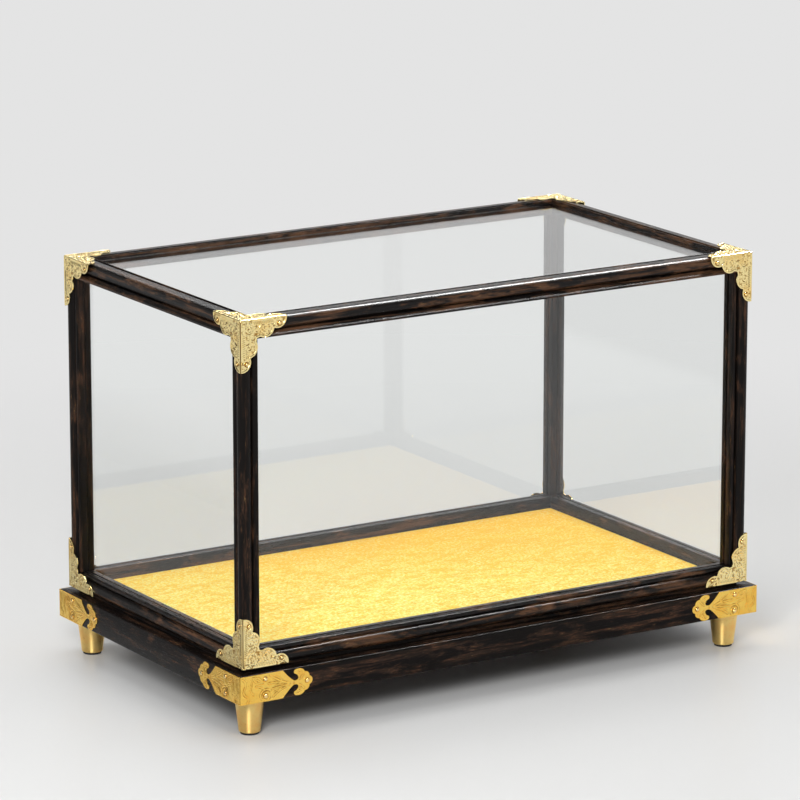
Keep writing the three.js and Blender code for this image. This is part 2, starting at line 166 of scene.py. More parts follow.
def addNode(kind, inputs=None, **settings):
    made = current["tree"].nodes.new("ShaderNode" + kind)
    for key, value in settings.items():
        setattr(made, key, value)
    return feed(made, inputs or {})


def colour(red, green, blue):
    return (red, green, blue, 1)


def mixColour(factor, first, second):
    return addNode("Mix", {0: factor, 6: first, 7: second}, data_type="RGBA").outputs[2]


def mixValue(factor, first, second):
    return addNode("Mix", {0: factor, 2: first, 3: second}, data_type="FLOAT").outputs[0]


def mathOf(operation, first, second):
    return addNode("Math", {0: first, 1: second}, operation=operation).outputs[0]


def plus(first, second):
    return mathOf("ADD", first, second)


def times(first, second):
    return mathOf("MULTIPLY", first, second)


def larger(first, second):
    return mathOf("MAXIMUM", first, second)


def ranged(value, low, high, newLow=0.0, newHigh=1.0, kind="SMOOTHSTEP"):
    inputs = {"Value": value, "From Min": low, "From Max": high, "To Min": newLow, "To Max": newHigh}
    return addNode("MapRange", inputs, interpolation_type=kind).outputs["Result"]


def placedOn(vector, scale, turn=(0, 0, 0)):
    inputs = {"Vector": vector, "Scale": scale, "Rotation": turn}
    return addNode("Mapping", inputs).outputs["Vector"]


# A scale of three numbers draws the noise out along an axis
def noiseOf(vector, scale, detail=3.0, roughness=0.55, distortion=0.0):
    if isinstance(scale, tuple):
        vector, scale = placedOn(vector, scale), 1.0
    inputs = {
        "Vector": vector, "Scale": scale, "Detail": detail,
        "Roughness": roughness, "Distortion": distortion,
    }
    return addNode("TexNoise", inputs).outputs[0]


def bumpFrom(height, strength, distance=0.0001):
    inputs = {"Height": height, "Strength": strength, "Distance": distance}
    return addNode("Bump", inputs).outputs["Normal"]


def startMaterial(name):
    material = bpy.data.materials.new(name)
    material.use_nodes = True
    startTree(material.node_tree)
    shader = addNode("BsdfPrincipled")
    addNode("OutputMaterial", {0: shader.outputs[0]})
    return material, shader, addNode("TexCoord").outputs["Object"]


# Group that puts out the colour, roughness and height of a surface
def startGroup(name, inputs):
    tree = bpy.data.node_groups.new(name, "ShaderNodeTree")
    startTree(tree)
    outputs = {"Color": "Color", "Roughness": "Float", "Height": "Float"}
    for way, sockets in (("INPUT", inputs), ("OUTPUT", outputs)):
        for label, kind in sockets.items():
            tree.interface.new_socket(name=label, in_out=way, socket_type="NodeSocket" + kind)
    return tree, tree.nodes.new("NodeGroupInput").outputs, tree.nodes.new("NodeGroupOutput")


def useGroup(shader, group, inputs, strength):
    made = addNode("Group", inputs, node_tree=group).outputs
    feed(shader, {
        "Base Color": made["Color"], "Roughness": made["Roughness"],
        "Normal": bumpFrom(made["Height"], strength),
    })


# Another shader takes the place of the first by a factor
def mixOver(factor, shader, other):
    mixed = addNode("MixShader", {0: factor, 1: shader.outputs[0], 2: other.outputs[0]})
    output = [node for node in current["tree"].nodes if node.type == "OUTPUT_MATERIAL"][0]
    feed(output, {0: mixed.outputs[0]})


# Grain of ebony, running along the X of its vector
def makeGrainGroup():
    group, into, out = startGroup("ebonyGrain", {
        "Vector": "Vector", "Brown": "Color",
        "Streak Amount": "Float", "Fleck Amount": "Float", "Gloss": "Float",
    })
    dark, streak, fleck = colour(0.005, 0.0038, 0.0034), colour(0.12, 0.05, 0.024), colour(0.42, 0.26, 0.1)
    wavy = noiseOf(into["Vector"], (9, 60, 60), 2)
    shift = addNode("VectorMath", {0: (0, 0.0025, 0.0025), "Scale": wavy}, operation="SCALE")
    moved = {0: into["Vector"], 1: shift.outputs[0]}
    bent = addNode("VectorMath", moved, operation="ADD").outputs[0]
    bands = noiseOf(bent, (14, 230, 230), 4, 0.6)
    clouds = noiseOf(bent, (38, 120, 120), 4, 0.65)
    lines = noiseOf(bent, (110, 900, 900), 4, 0.7)
    pores = noiseOf(bent, (170, 3600, 3600), 2)
    flecks = noiseOf(bent, (190, 1300, 1300), 3, 0.65)
    patches = larger(ranged(bands, 0.49, 0.66), ranged(clouds, 0.52, 0.68))
    body = mixColour(patches, dark, into["Brown"])
    lined = times(ranged(lines, 0.46, 0.66), patches)
    streaked = mixColour(times(lined, into["Streak Amount"]), body, streak)
    fleckMask = times(ranged(flecks, 0.62, 0.72), patches)
    flecked = mixColour(times(fleckMask, into["Fleck Amount"]), streaked, fleck)
    poreMask = ranged(pores, 0.6, 0.7)
    rough = plus(into["Gloss"], ranged(lines, 0.3, 0.75, 0.0, 0.1, "LINEAR"))
    feed(out, {
        "Color": mixColour(times(poreMask, 0.55), flecked, dark),
        "Roughness": plus(rough, times(poreMask, 0.12)),
        "Height": mathOf("SUBTRACT", times(lines, 0.5), times(poreMask, 0.6)),
    })
    return group


# Brass with warm clouds and small spots, tarnished in its low places, brushed or stippled; painted shade,
# near black, where the relief falls below its ground
def makeBrassGroup():
    group, into, out = startGroup("brassFinish", {
        "Vector": "Vector", "Bright": "Color", "Deep": "Color", "Warm": "Color",
        "Relief": "Float", "Gloss": "Float", "Brushing": "Float", "Grain": "Float",
    })
    clouds = noiseOf(into["Vector"], 90)
    spots = noiseOf(into["Vector"], 700, 3, 0.6)
    brushed = noiseOf(into["Vector"], (240, 240, 6500), 2)
    stipple = noiseOf(into["Vector"], 2600, 1)
    warmth = times(ranged(clouds, 0.4, 0.7), 0.45)
    tinted = mixColour(warmth, into["Bright"], into["Warm"])
    sunken = ranged(into["Relief"], 0.02, 0.42, 1.0, 0.0)
    spotted = times(ranged(spots, 0.6, 0.72), 0.35)
    aged = mixColour(larger(times(sunken, 0.9), spotted), tinted, into["Deep"])
    paintedCreviceShade = ranged(into["Relief"], -0.6, -0.05, 1.0, 0.0)    # painted shade, near black, in the seams of the folds and round the nails
    rough = plus(into["Gloss"], ranged(spots, 0.3, 0.7, 0.0, 0.12, "LINEAR"))
    feed(out, {
        "Color": mixColour(paintedCreviceShade, aged, colour(0.07, 0.028, 0.008)),
        "Roughness": plus(rough, times(sunken, 0.16)),
        "Height": plus(times(brushed, into["Brushing"]), times(stipple, into["Grain"])),
    })
    return group


grainGroup = makeGrainGroup()
brassGroup = makeBrassGroup()


# Ebony, with its grain turned to run along a rail or up a post
def makeEbony(name, turn, streaks, flecks, gloss=0.18, brown=(0.026, 0.0155, 0.0105), shine=0.11):
    material, shader, place = startMaterial(name)
    useGroup(shader, grainGroup, {
        "Vector": placedOn(place, (1, 1, 1), turn), "Brown": colour(*brown),
        "Streak Amount": streaks, "Fleck Amount": flecks, "Gloss": gloss,
    }, 0.22)
    feed(shader, {"Specular IOR Level": shine})
    return material


# Brass in bright, deep and warm tones. On a turned piece the highlights are drawn out up its side
def makeBrass(name, tones, gloss, brushing, grain, strength, stamped=False, turned=0):
    material, shader, place = startMaterial(name)
    inputs = {"Vector": place, "Relief": 1.0, "Gloss": gloss, "Brushing": brushing, "Grain": grain}
    for label, tone in zip(("Bright", "Deep", "Warm"), tones):
        inputs[label] = colour(*tone)
    if stamped:
        inputs["Relief"] = addNode("Attribute", attribute_name="relief").outputs["Fac"]
    if turned:
        tangent = addNode("Tangent", direction_type="RADIAL", axis="Z").outputs[0]
        feed(shader, {"Tangent": tangent, "Anisotropic": turned, "Anisotropic Rotation": 0.25})
    useGroup(shader, brassGroup, inputs, strength)
    feed(shader, {"Metallic": 1})
    return material


# Short pile with fine flecks, deeper orange and with fewer pale flecks towards the back right
def makeVelvet():
    material, shader, place = startMaterial("yellowVelvet")
    wide = noiseOf(place, (5, 16, 16), 3, 0.6)
    streaks = noiseOf(place, (90, 170, 170), 4, 0.75)
    fine = noiseOf(place, (480, 640, 640), 3, 0.7)
    pile = noiseOf(place, 2400, 2)
    axes = addNode("SeparateXYZ", {0: place}).outputs
    depth = plus(times(axes["X"], 0.35), times(axes["Y"], 0.7))
    toBack = ranged(depth, -0.05, 0.09)
    deeperOrange = plus(ranged(wide, 0.35, 0.68, 0.0, 0.35), times(toBack, 0.7))
    base = mixColour(deeperOrange, colour(1.0, 0.74, 0.06), colour(1.0, 0.52, 0.005))
    ochre = times(ranged(streaks, 0.42, 0.6), ranged(fine, 0.38, 0.6))
    shaded = mixColour(ochre, base, colour(0.97, 0.53, 0.02))
    pale = times(ranged(fine, 0.56, 0.4), ranged(streaks, 0.66, 0.44))
    share = ranged(toBack, 0, 1, 0.95, 0.45, "LINEAR")
    feed(shader, {
        "Base Color": mixColour(times(pale, share), shaded, colour(1.0, 0.95, 0.37)),
        "Roughness": ranged(fine, 0.3, 0.7, 0.8, 0.97, "LINEAR"),
        "Normal": bumpFrom(plus(times(pile, 0.6), fine), 0.5, 0.0003),
        "Specular IOR Level": 0.12,
        "Sheen Weight": 0.07,
        "Sheen Roughness": 0.4,
        "Sheen Tint": colour(1, 0.88, 0.35),
    })
    return material


# Clear plate glass that lets lamps and the light of its surroundings through
def makeGlass():
    material, shader, place = startMaterial("clearPlate")
    feed(shader, {
        "Base Color": colour(0.985, 0.995, 0.99), "Transmission Weight": 1, "IOR": 1.5,
        "Roughness": ranged(noiseOf(place, 14), 0.45, 0.8, 0.0, 0.012, "LINEAR"),
    })
    path = addNode("LightPath").outputs
    clear = addNode("BsdfTransparent", {"Color": colour(0.994, 0.996, 0.995)})
    mixOver(larger(path["Is Shadow Ray"], path["Is Diffuse Ray"]), shader, clear)
    return material


# Plain wood of the hidden panel and board
def makeHiddenWood(name, light, dark):
    material, shader, place = startMaterial(name)
    rings = noiseOf(place, (4, 70, 70), 4, distortion=0.6)
    fibres = noiseOf(place, (60, 1500, 1500))
    tone = mixColour(ranged(rings, 0.3, 0.7), colour(*light), colour(*dark))
    feed(shader, {
        "Base Color": mixColour(ranged(fibres, 0.55, 0.72, 0.0, 0.6), tone, colour(*dark)),
        "Roughness": ranged(fibres, 0.3, 0.7, 0.55, 0.75, "LINEAR"),
        "Normal": bumpFrom(fibres, 0.4),
    })
    return material


def makeSteel():
    material, shader, place = startMaterial("threadedSteel")
    rubbed = noiseOf(place, (300, 300, 4000), 2)
    feed(shader, {
        "Base Color": mixColour(rubbed, colour(0.5, 0.51, 0.52), colour(0.66, 0.66, 0.65)),
        "Roughness": ranged(rubbed, 0.3, 0.7, 0.25, 0.45, "LINEAR"),
        "Metallic": 1,
    })
    return material


def makeRubber():
    material, shader, place = startMaterial("padRubber")
    speckle = noiseOf(place, 1800, 2)
    feed(shader, {
        "Base Color": mixColour(speckle, colour(0.012, 0.012, 0.012), colour(0.03, 0.03, 0.029)),
        "Roughness": ranged(speckle, 0.3, 0.7, 0.75, 0.95, "LINEAR"),
        "Normal": bumpFrom(speckle, 0.4),
    })
    return material


quarter = math.pi / 2
ebonyLong = makeEbony("ebonyLong", (0, 0, 0), 0.65, 0.3, shine=0.09)
ebonyCross = makeEbony("ebonyCross", (0, 0, quarter), 0.6, 0.5)
ebonyRail = makeEbony("ebonyRail", (0, 0, 0), 1.0, 0.4, 0.24, (0.085, 0.042, 0.021), 0.185)
ebonyRailCross = makeEbony(
    "ebonyRailCross", (0, 0, quarter), 0.9, 0.5, 0.24, (0.065, 0.034, 0.018), 0.165,
)
ebonyUpright = makeEbony("ebonyUpright", (0, quarter, 0), 0.6, 0.5, 0.28)
reliefBrass = makeBrass(
    "reliefBrass", ((1.0, 0.83, 0.4), (0.38, 0.185, 0.03), (1.0, 0.62, 0.16)), 0.11, 0.0, 1.0, 0.3, True,
)
strapBrass = makeBrass(
    "strapBrass", ((1.0, 0.65, 0.135), (0.36, 0.14, 0.018), (1.0, 0.48, 0.05)), 0.16, 0.0, 1.0, 0.35, True,
)
turnedBrass = makeBrass(
    "turnedBrass", ((1.0, 0.72, 0.26), (0.6, 0.3, 0.06), (1.0, 0.46, 0.1)), 0.35, 0.3, 0.3, 0.15,
    turned=0.9,
)
nailBrass = makeBrass(
    "nailBrass", ((1.0, 0.76, 0.34), (0.5, 0.26, 0.05), (0.98, 0.55, 0.14)), 0.09, 0.0, 0.1, 0.1,
)
velvetMaterial = makeVelvet()
glassMaterial = makeGlass()
panelWood = makeHiddenWood("panelWood", (0.16, 0.09, 0.05), (0.07, 0.035, 0.02))
boardWood = makeHiddenWood("boardWood", (0.46, 0.31, 0.17), (0.3, 0.18, 0.09))
steelMaterial = makeSteel()
rubberMaterial = makeRubber()
print("materials are made")


# Backdrop: a floor that keeps the shadow near the case and has the backdrop's tone far from it. To the
# left of the case its tone is dimmed for glossy rays alone: a painted dark reflection that metal sees
def makeFloor():
    bm = bmesh.new()
    bmesh.ops.create_grid(bm, x_segments=2, y_segments=2, size=14)
    mesh = bpy.data.meshes.new("studioFloor")
    bm.to_mesh(mesh)
    bm.free()
    material, shader, place = startMaterial("floorPaper")
    tone = studio["floorTone"]
    paper = mixColour(
        noiseOf(place, 300, 2),
        colour(tone, tone, tone * 0.995), colour(tone * 1.01, tone * 1.01, tone),
    )
    feed(shader, {
        "Base Color": paper, "Roughness": studio["floorRoughness"],
        "Specular IOR Level": studio["floorShine"],
    })
    path = addNode("LightPath").outputs
    across = addNode("SeparateXYZ", {0: place}).outputs["X"]
    # Painted dark reflection: left of the case the floor's glow is dimmed for glossy rays alone, so metal
    # reflects a darker floor there
    paintedDarkPatch = times(ranged(across, *studio["darkPatchNear"]), ranged(across, *studio["darkPatchFar"]))
    paintedDarkReflection = times(paintedDarkPatch, path["Is Glossy Ray"])
    toned = mathOf("SUBTRACT", 1, times(paintedDarkReflection, studio["paintedReflectionShade"]))
    glow = addNode("Emission", {"Color": colour(*[studio["backdropTone"]] * 3), "Strength": toned})
    reach = addNode("VectorMath", {0: place}, operation="LENGTH").outputs["Value"]
    far = larger(ranged(reach, studio["nearFloor"], studio["farFloor"]), paintedDarkReflection)
    seen = larger(path["Is Camera Ray"], path["Is Transmission Ray"])
    seen = larger(seen, path["Is Glossy Ray"])
    mixOver(times(far, seen), shader, glow)
    mesh.materials.append(material)
    addObject("studioFloor", mesh)


# Surroundings: pale round the case but dim to its left and above it. Matt surfaces get a fill that
# grows upwards
def makeSurroundings():
    world = bpy.data.worlds.new("studio")
    bpy.context.scene.world = world
    world.use_nodes = True
    startTree(world.node_tree)
    direction = addNode("TexCoord").outputs["Generated"]
    axes = addNode("SeparateXYZ", {0: direction}).outputs
    path = addNode("LightPath").outputs
    behind = ranged(axes["Y"], -0.35, 0.3, studio["frontTone"], studio["backdropTone"])
    left = ranged(axes["X"], -0.85, -0.4, studio["leftTone"], 1)
    above = ranged(axes["Z"], 0.24, 0.42, 1, studio["aboveTone"])
    room = times(times(behind, left), above)
    fill = ranged(axes["Z"], 0.0, 0.6, studio["lowFill"], studio["highFill"])
    tone = mixValue(path["Is Glossy Ray"], fill, room)
    seen = larger(path["Is Camera Ray"], path["Is Transmission Ray"])
    shown = mixValue(seen, tone, studio["backdropTone"])
    light = addNode("Background", {"Color": colour(1, 1, 1), "Strength": shown})
    addNode("OutputWorld", {0: light.outputs[0]})


makeFloor()
makeSurroundings()
bpy.context.scene.view_settings.view_transform = "Standard"


# Making of pieces

def newVerts(bm, known):
    return [vert for vert in bm.verts if vert not in known]


# Outline on the XY plane: a pair goes straight to a place, a longer stroke goes round a centre by
# degrees in steps, and may then be stretched about it
def drawOutline(start, strokes):
    bm = bmesh.new()
    tip = bm.verts.new((*start, 0))
    for stroke in strokes:
        if len(stroke) == 2:
            tip = bmesh.ops.extrude_vert_indiv(bm, verts=[tip])["verts"][0]
            tip.co = (*stroke, 0)
            continue
        centre, degrees, steps, stretch = (*stroke, (1, 1))[:4]
        known = set(bm.verts)
        out = bmesh.ops.spin(
            bm, geom=[tip], cent=(*centre, 0), axis=(0, 0, 1),
            angle=math.radians(degrees), steps=steps, use_duplicate=False,
        )
        tip = [part for part in out["geom_last"] if isinstance(part, bmesh.types.BMVert)][0]
        bmesh.ops.scale(
            bm, vec=(*stretch, 1), space=Matrix.Translation((-centre[0], -centre[1], 0)),
            verts=newVerts(bm, known),
        )
    return bm


def closeOutline(bm):
    loose = [vert for vert in bm.verts if len(vert.link_edges) == 1]
    if loose:
        bmesh.ops.contextual_create(bm, geom=loose)
    bmesh.ops.edgeloop_fill(bm, edges=bm.edges[:])
    return bm


# The two outlines on either side of a diagonal, joined
def mirrorOutline(bm):
    bmesh.ops.mirror(
        bm, geom=bm.verts[:] + bm.edges[:], matrix=Matrix.Rotation(math.radians(45), 4, "Z"),
        merge_dist=0.001, axis="X",
    )
    bmesh.ops.remove_doubles(bm, verts=bm.verts[:], dist=0.001)
    return bm


def raiseOutline(bm, height):
    grown = bmesh.ops.extrude_face_region(bm, geom=bm.faces[:])["geom"]
    ends = [part for part in grown if isinstance(part, bmesh.types.BMVert)]
    bmesh.ops.translate(bm, vec=(0, 0, height), verts=ends)
    bmesh.ops.recalc_face_normals(bm, faces=bm.faces[:])
    return bm


# Bar along X from a section of [distance inward, height], mitred towards its inner side
def mitreOutline(bm, length):
    raiseOutline(bm, 1)
    for vert in bm.verts:
        inward, height, end = vert.co
        reach = length / 2 - inward - mitreGap
        vert.co = (reach if end > 0.5 else -reach, inward, height)
    bmesh.ops.recalc_face_normals(bm, faces=bm.faces[:])
    return bm


def meshFrom(bm, name, sharp=30):
    bmesh.ops.scale(bm, vec=(mm, mm, mm), verts=bm.verts[:])
    for face in bm.faces:
        face.smooth = True
    for edge in bm.edges:
        edge.smooth = edge.calc_face_angle(0) < math.radians(sharp)
    mesh = bpy.data.meshes.new(name)
    bm.to_mesh(mesh)
    bm.free()
    return mesh


def addPiece(name, mesh, materials, body, replaced):
    piece = addObject(name, mesh)
    for material in materials:
        mesh.materials.append(material)
    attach(piece, body)
    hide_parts(*replaced)
    return piece


corners = (("front_left", -1, -1), ("front_right", 1, -1), ("back_right", 1, 1), ("back_left", -1, 1))
sides = (("front", 0, -1), ("right", 1, 0), ("back", 0, 1), ("left", -1, 0))


def placing(x, y, z, turns):
    turn = Matrix.Rotation(turns * quarter, 4, "Z")
    return Matrix.Translation((x * mm, y * mm, z * mm)) @ turn


# A copy at each corner of a plan, each turned a quarter from the last
def addAtCorners(name, mesh, materials, body, plan, level):
    for turns, (where, x, y) in enumerate(corners):
        copy = mesh.copy()
        copy.transform(placing(x * plan[0] / 2, y * plan[1] / 2, level, turns))
        addPiece(f"{where}_{name}_shape", copy, materials, body, [f"{where}_{name}"])


# A piece along each side of a plan, its grain along it
def addAtSides(name, make, body, plan, level, finishes):
    for turns, (side, x, y) in enumerate(sides):
        mesh = meshFrom(make(plan[turns % 2]), name)
        mesh.transform(placing(x * plan[0] / 2, y * plan[1] / 2, level, turns))
        addPiece(f"{side}_{name}_shape", mesh, [finishes[turns % 2]], body, [f"{side}_{name}"])


# Base frame

baseRail = {
    "width": 42,
    "thickness": baseSpan[1][2] - baseSpan[0][2],
    "arris": 0.9,
    "grooveLow": 8.9,
    "grooveHigh": 13.5,
    "grooveDepth": 6.3,
}


def makeBaseRail(length):
    width, thickness, arris, low, high, deep = baseRail.values()
    floor = width - deep
    return mitreOutline(closeOutline(drawOutline((arris, 0), [
        ((arris, arris), -90, 6),
        (0, thickness - arris),
        ((arris, thickness - arris), -90, 6),
        (width, thickness), (width, high), (floor, high), (floor, low), (width, low), (width, 0),
    ])), length)


addAtSides("base_rail", makeBaseRail, "base", basePlan, baseSpan[0][2], (ebonyLong, ebonyCross))
print("base frame is made")


# Frame of the cover

member = {
    "depth": 13.2,
    "topHeight": 12.5,
    "bottomHeight": 14.5,
    "plinth": 2.2,
    "arris": 0.5,
    "rod": 4.35,
    "quirk": 0.3,
    "setback": 1.2,
    "rodSetback": 1.3,
    "cockbead": 0.6,
    "cockbeadGap": 2.8,
    "cockbeadRise": 1.9,
    "railLip": 0.6,
    "lipSlope": 2.2,
    "bead": 1.7,
    "beadSetback": 0.35,
    "ledge": 1.0,
    "lip": 1.0,
    "groove": (6.4, 2.9, 3.0),    # its start, width and depth
    "topGlassDrop": 2.8,
    "postGap": 0.1,
    "steps": 20,
}


# A rod between a thin cockbead along the glass and a bevelled lip below
def makeTopRail(length):
    rod, depth, size, arris = member["rod"], member["depth"], member["topHeight"], member["arris"]
    start, width, deep = member["groove"]
    drop, lip, slope = member["topGlassDrop"], member["railLip"], member["lipSlope"]
    middle, under = member["rodSetback"] + rod, 2 * rod + member["quirk"]
    bead, sunk = member["cockbead"], member["cockbeadRise"]
    inner = depth - bead - member["cockbeadGap"]
    return mitreOutline(closeOutline(drawOutline((middle, 0), [
        ((middle, -rod), 180, member["steps"]),
        (middle, -under), (lip + slope, -under), (lip, -under - slope), (lip, -size),
        (start, -size), (start, deep - size), (start + width, deep - size), (start + width, -size),
        (depth - arris, -size),
        ((depth - arris, arris - size), 90, 3),
        (depth, -drop - width), (depth - deep, -drop - width), (depth - deep, -drop), (depth, -drop),
        (depth, -bead / 2),
        ((depth - bead / 2, -bead / 2), 180, 6),
        (depth - bead, -sunk), (inner, -sunk), (inner, 0),
    ])), length)


# A plinth, a rod and a bead that stands back, below a ledge for the glass
def makeBottomRail(length):
    rod, depth, size, arris = member["rod"], member["depth"], member["bottomHeight"], member["arris"]
    start, width, deep = member["groove"]
    plinth, bead, ledge = member["plinth"], member["bead"], start - member["ledge"]
    waist, middle = plinth + 2 * rod, rod - member["beadSetback"]
    return mitreOutline(closeOutline(drawOutline((rod, 0), [
        (rod, plinth),
        ((rod, plinth + rod), -180, member["steps"]),
        (middle, waist),
        ((middle, waist + bead), -180, 14),
        (ledge, waist + 2 * bead), (ledge, size),
        (start, size), (start, size - deep), (start + width, size - deep), (start + width, size),
        (depth - arris, size),
        ((depth - arris, size - arris), -90, 3),
        (depth, 0),
    ])), length)


# Two rods that meet at the outer corner, with a groove for each pane
def makePost(height):
    rod, size, lip, setback = member["rod"], member["depth"], member["lip"], member["setback"]
    start, width, deep = member["groove"]
    crest = size - lip
    flare = crest - 2 * rod - member["quirk"]
    tip = rod * (1 - math.sqrt(0.5))
    bm = drawOutline((tip, tip), [
        ((rod, rod), 135, 16),
        (crest - flare, rod),
        ((crest, rod), 90, 10, (1, (rod - setback) / flare)),
        ((crest, setback + lip), 90, 6),
        (size, start), (size - deep, start), (size - deep, start + width), (size, start + width),
        (size, size - member["arris"]),
    ])
    return raiseOutline(closeOutline(mirrorOutline(bm)), height)


coverFinish = (ebonyRail, ebonyRailCross)
addAtSides("top_rail", makeTopRail, "cover", coverPlan, coverSpan[1][2], coverFinish)
addAtSides("bottom_rail", makeBottomRail, "cover", coverPlan, coverSpan[0][2], coverFinish)
postLow = coverSpan[0][2] + member["bottomHeight"] + member["postGap"]
postHigh = coverSpan[1][2] - member["topHeight"] - member["postGap"]
postMesh = meshFrom(makePost(postHigh - postLow), "post")
addAtCorners("post", postMesh, [ebonyUpright], "cover", coverPlan, postLow)
print("frame of the cover is made")


# Feet and pads

foot = {
    "height": 22.8,
    "top": 9.7,
    "bottom": 7.15,
    "round": 0.9,
    "chamfer": 0.4,
    "recess": 6.3,
    "recessTop": 0.8,
    "recessEase": 0.15,
    "bore": 2.3,
    "boreDepth": 12.3,
    "rings": (1.7, 2.1, 21.2, 21.55),
    "ringStep": 0.08,
    "ringDepth": 0.07,
    "level": 1.5,
    "inset": 15.6,
}
pad = {"radius": 6, "height": 2.2, "lowRound": 0.3, "topRound": 0.2}


def turnOutline(bm, steps):
    bmesh.ops.rotate(bm, cent=(0, 0, 0), matrix=Matrix.Rotation(quarter, 3, "X"), verts=bm.verts[:])
    bmesh.ops.spin(
        bm, geom=bm.verts[:] + bm.edges[:], cent=(0, 0, 0), axis=(0, 0, 1),
        angle=2 * math.pi, steps=steps, use_merge=True, use_duplicate=False,
    )
    bmesh.ops.remove_doubles(bm, verts=bm.verts[:], dist=0.0005)
    bmesh.ops.recalc_face_normals(bm, faces=bm.faces[:])
    return bm


def makeFoot():
    low, high, edge = foot["bottom"], foot["top"], foot["round"]
    height, chamfer, recess, ease = (foot[key] for key in ("height", "chamfer", "recess", "recessEase"))
    bore, step, floor = foot["bore"], foot["ringStep"], height - foot["boreDepth"]
    slope = (high - low) / (height - chamfer - edge)
    strokes = [
        (recess, foot["recessTop"]), (recess, ease), (recess + ease, 0), (low - edge, 0),
        ((low - edge, edge), 90, 8),
    ]
    for level in foot["rings"]:    # faint rings left by the tool
        side = low + (level - edge) * slope
        cut = side - foot["ringDepth"]
        strokes += [(side, level), (cut, level + step), (cut, level + 2 * step), (side, level + 3 * step)]
    strokes += [(high, height - chamfer), (high - chamfer, height)]
    strokes += [(bore, height), (bore, floor), (0, floor)]
    return turnOutline(drawOutline((0, foot["recessTop"]), strokes), 96)


def makePad():
    radius, height, low, top = pad.values()
    return turnOutline(drawOutline((0, 0), [
        (radius - low, 0), ((radius - low, low), 90, 4),
        (radius, height - top), ((radius - top, height - top), 90, 3), (0, height),
    ]), 64)


footPlan = [side - 2 * foot["inset"] for side in basePlan]
footMesh, padMesh = meshFrom(makeFoot(), "foot", 24), meshFrom(makePad(), "footPad")
addAtCorners("foot", footMesh, [turnedBrass], "base", footPlan, foot["level"])
addAtCorners("foot_pad", padMesh, [rubberMaterial], "base", footPlan, 0)
print("feet are made")


# Brass fittings with stamped relief

def allOf(bm):
    return bm.verts[:] + bm.edges[:] + bm.faces[:]


def edgeOf(bm):
    return [tuple(vert.co[:2]) for vert in bm.faces[:][0].verts]


def cutToGrid(bm, step, low, high):
    for axis in range(2):
        count = max(1, round((high[axis] - low[axis]) / step))
        for i in range(1, count):
            place, normal = [0, 0, 0], [0, 0, 0]
            place[axis] = low[axis] + (high[axis] - low[axis]) * i / count
            normal[axis] = 1
            bmesh.ops.bisect_plane(bm, geom=allOf(bm), dist=1e-4, plane_co=place, plane_no=normal)


# Distance from places to the nearest point of a chain of places
def distanceTo(places, chain):
    nearest = np.full(len(places), 1e9)
    for start, end in zip(chain[:-1], chain[1:]):
        start, along = np.array(start), np.array(end) - np.array(start)
        share = np.clip(((places - start) @ along) / max(along @ along, 1e-9), 0, 1)
        nearest = np.minimum(nearest, np.linalg.norm(places - start - share[:, None] * along, axis=1))
    return nearest


def smoothly(value, low, high):
    share = np.clip((value - low) / (high - low), 0, 1)
    return share * share * (3 - 2 * share)


# Rounded ridge or furrow along a chain of places, 1 on its middle line
def ridge(places, chain, width):
    return np.clip(1 - (distanceTo(places, chain) / width) ** 2, 0, 1)


def around(centre, reach, angle):
    return (centre[0] + reach * math.cos(angle), centre[1] + reach * math.sin(angle))


def spiral(centre, radius, turns, start, hand=1, core=0.12, steps=18):
    count = int(turns * steps)
    chain = []
    for i in range(count + 1):
        angle = math.radians(start) + hand * 2 * math.pi * turns * i / count
        reach = radius * (1 - (1 - core) * (i / count) ** 0.9)
        chain.append(around(centre, reach, angle))
    return chain


def bend(start, pull, end, steps=10):
    start, pull, end = (Vector((*place, 0)) for place in (start, pull, end))
    curve = geometry.interpolate_bezier(
        start, start.lerp(pull, 2 / 3), end.lerp(pull, 2 / 3), end, steps + 1,
    )
    return [(point.x, point.y) for point in curve]


# Punched pearls of uneven height, packed about one pitch apart
def pearlsAt(places, pitch, seed):
    dice = np.random.default_rng(seed)
    low = places.min(axis=0) - pitch
    counts = np.ceil((places.max(axis=0) - low) / pitch).astype(int) + 1
    cells = np.stack(np.meshgrid(*[np.arange(count) for count in counts]), -1).reshape(-1, 2)
    middles = low + (cells + dice.uniform(0.12, 0.88, cells.shape)) * pitch
    rises = dice.uniform(0.15, 1.0, len(cells))
    level = np.zeros(len(places))
    for middle, rise in zip(middles, rises):
        away = np.abs(places - middle).max(axis=1) < pitch
        share = np.clip(1 - (np.linalg.norm(places[away] - middle, axis=1) / (0.66 * pitch)) ** 2, 0, 1)
        level[away] = np.maximum(level[away], rise * share)
    return level


def grainAt(places, size, seed):
    return np.array([noise.noise(Vector((x / size, y / size, seed))) for x, y in places])


# Distance to the rim of a face, of which the edges along some axes are folded and don't count
def rimDistance(places, edge, folded):
    rim = np.full(len(places), 1e9)
    for pair in zip(edge, edge[1:] + edge[:1]):
        if not any(all(abs(end[axis]) < 0.01 for end in pair) for axis in folded):
            rim = np.minimum(rim, distanceTo(places, pair))
    return rim


# Relief of a face from its level, 0 on the ground and 1 on the crests, which the brass reads too; where it
# is below 0 the brass paints shade near black
def pressRelief(bm, level, rim, sizes):
    rounded = smoothly(rim, -0.05, 0.3)
    height = -sizes["depth"] * (1 - np.maximum(level, 0)) - sizes["rounding"] * (1 - rounded)
    layer = bm.verts.layers.float.new("relief")
    for vert, share, rise in zip(bm.verts, level, height):
        vert[layer] = share
        vert.co.z = rise
    bm.verts.index_update()


